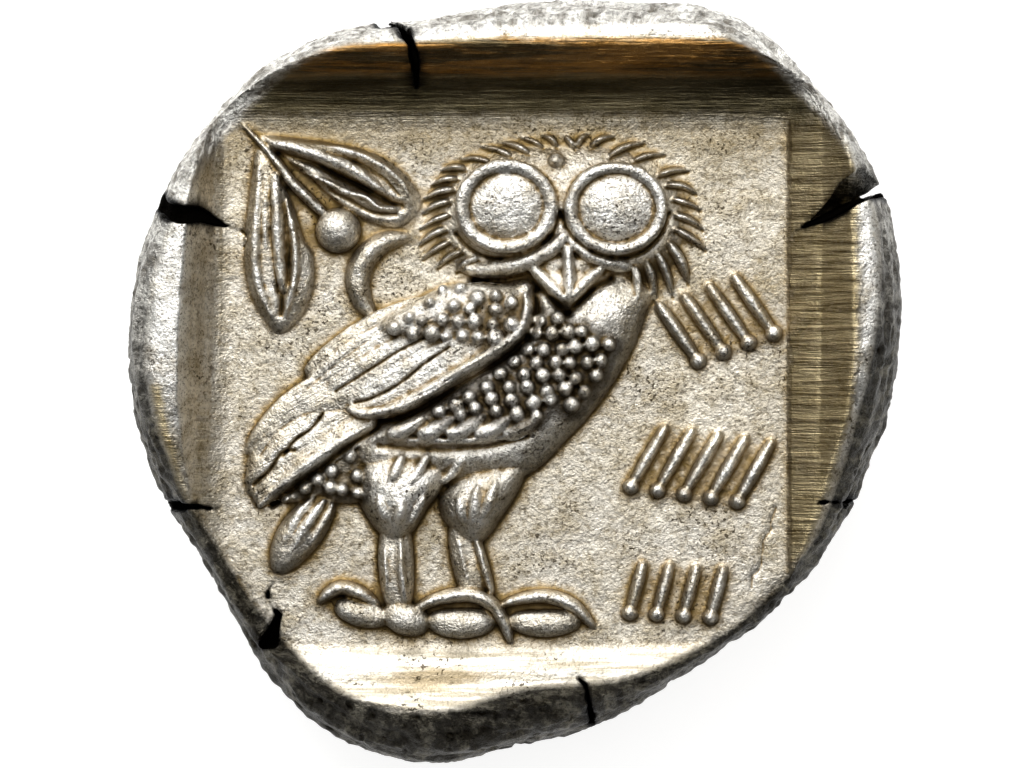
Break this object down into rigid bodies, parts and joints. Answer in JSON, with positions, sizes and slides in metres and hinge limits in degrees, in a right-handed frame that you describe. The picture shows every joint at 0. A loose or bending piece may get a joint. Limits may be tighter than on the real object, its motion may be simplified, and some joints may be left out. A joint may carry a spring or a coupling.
{
  "type": "struck silver coin",
  "caption": "Thick irregular round silver coin struck with an owl, olive sprig and crescent in a sunken square, and a helmeted head on its convex underside.",
  "frame": {"origin": "under the middle of the outline's bounding box, in the plane of the worn flats that the coin lies on", "axes": "+Z out of the owl side, through the thickness; +Y towards the top of the owl; +X to the owl's right as seen"},
  "size_m": [0.0246, 0.0242, 0.0067],
  "materials": {
    "silver": "struck silver with a soft satin sheen, warm grey toning and brown patina in the recesses, wall and cracks"
  },
  "bodies": {
    "root": {"coin": "silver"}
  },
  "joints": []
}
